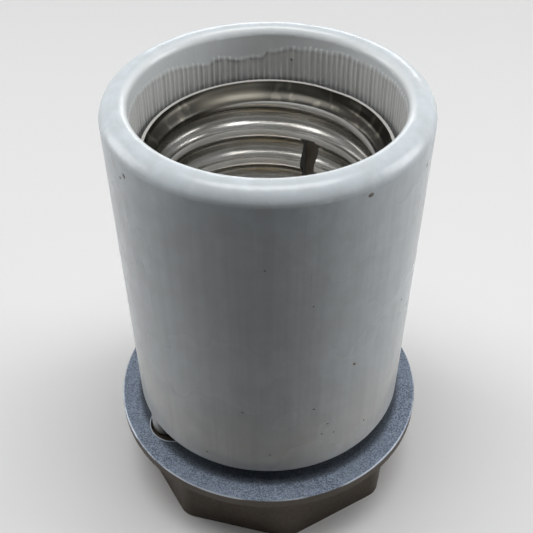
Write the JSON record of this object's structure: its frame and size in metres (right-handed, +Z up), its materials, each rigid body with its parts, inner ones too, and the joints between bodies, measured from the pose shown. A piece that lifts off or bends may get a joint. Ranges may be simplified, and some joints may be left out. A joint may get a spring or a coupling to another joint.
{
  "type": "lamp holder",
  "caption": "Porcelain screw lamp holder: a tall glazed cup round a rolled E40 screw shell with a sprung centre contact, on a flanged octagonal cast base with a conduit entry.",
  "frame": {"origin": "centre of the octagonal hub's standing face, on the lamp axis", "axes": "+Z up the lamp axis, out of the socket's mouth; -Y towards the side with the hub's front corner; +X to the right of it"},
  "size_m": [0.059, 0.059, 0.0823],
  "materials": {
    "porcelain": "glazed white, slightly grey",
    "nickel": "rolled sheet with warm bright nickel plating",
    "spring_strip": "dull dark spring strip",
    "brass": "plain machined brass",
    "spring_steel": "drawn spring wire",
    "plated_steel": "bright zinc plating",
    "cast_alloy": "as-cast light alloy, matt and faintly speckled"
  },
  "bodies": {
    "holder": {"porcelain_body": "porcelain", "screw_shell": "nickel", "side_contact_strip": "spring_strip", "live_contact_strap": "brass", "centre_contact_spring": "spring_steel", "shell_terminal": "brass", "live_terminal": "brass", "shell_nut_plate": "brass", "shell_terminal_screw": "plated_steel", "live_terminal_screw": "plated_steel", "shell_screw_strip_side": "plated_steel", "shell_screw_far_side": "plated_steel", "live_fixing_screw": "plated_steel", "base_casting": "cast_alloy", "conduit_grub_screw": "plated_steel", "base_screw_right": "plated_steel", "base_screw_left": "plated_steel", "base_washer_right": "plated_steel", "base_washer_left": "plated_steel", "base_nut_right": "plated_steel", "base_nut_left": "plated_steel"},
    "plunger": {"centre_contact": "brass"}
  },
  "joints": [
    {"name": "centre_contact_slide", "type": "slide", "parent": "holder", "child": "plunger", "axis": [0, 0, -1], "range_m": [0, 0.0022], "stiffness_N_per_m": 1500, "springref_m": -0.003, "deforming": ["centre_contact_spring"]}
  ]
}
